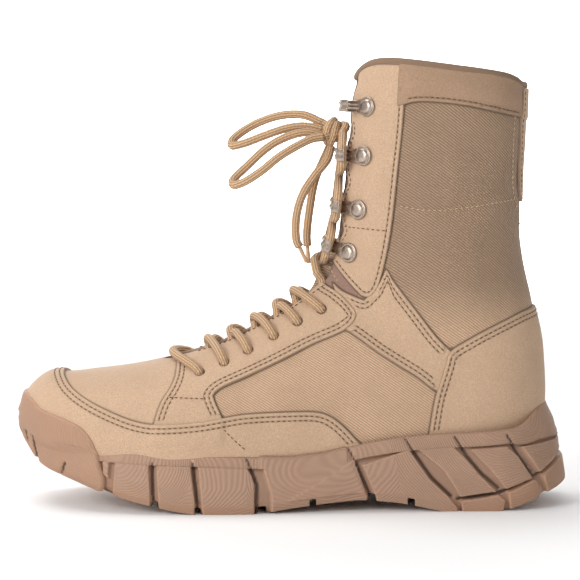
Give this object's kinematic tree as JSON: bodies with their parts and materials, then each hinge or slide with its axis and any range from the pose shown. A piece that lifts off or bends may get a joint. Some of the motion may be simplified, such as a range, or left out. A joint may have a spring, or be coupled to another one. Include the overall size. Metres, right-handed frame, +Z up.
{
  "type": "combat boot",
  "caption": "Left high-top lace-up combat boot in tan leather and twill fabric, with speed hooks, a tied lace and a lugged rubber sole.",
  "frame": {"origin": "on the floor, at the middle of the box round the boot", "axes": "-X towards the toe, +X towards the heel, -Y towards the outer side, +Y towards the inner side, +Z up from the floor"},
  "size_m": [0.3044, 0.1159, 0.246],
  "materials": {
    "leather": "matte nubuck",
    "fabric": "diagonal twill",
    "lining": "plain knit",
    "midsole": "matte",
    "tread": "matte",
    "metal": "satin nickel",
    "lace": "braided"
  },
  "bodies": {
    "root": {"outsole": "tread", "midsole": "midsole", "insole": "lining", "upper": "fabric", "tongue": "fabric", "mudguard": "leather", "heel_counter": "leather", "back_stay": "leather", "eyestay_lateral": "leather", "eyestay_medial": "leather", "ankle_strip_lateral": "leather", "ankle_strip_medial": "leather", "hook_facing_lateral": "leather", "hook_facing_medial": "leather", "collar_band_lateral": "leather", "collar_band_medial": "leather", "lace_hook_lateral_1": "metal", "lace_hook_lateral_2": "metal", "lace_hook_lateral_3": "metal", "lace_hook_lateral_4": "metal", "lace_hook_medial_1": "metal", "lace_hook_medial_2": "metal", "lace_hook_medial_3": "metal", "lace_hook_medial_4": "metal", "lace_crossings": "lace", "lace_knot": "lace", "lace_loop_upper": "lace", "lace_loop_lower": "lace", "lace_end_long": "lace", "lace_end_short": "lace", "aglet_long": "lace", "aglet_short": "lace"}
  },
  "joints": []
}
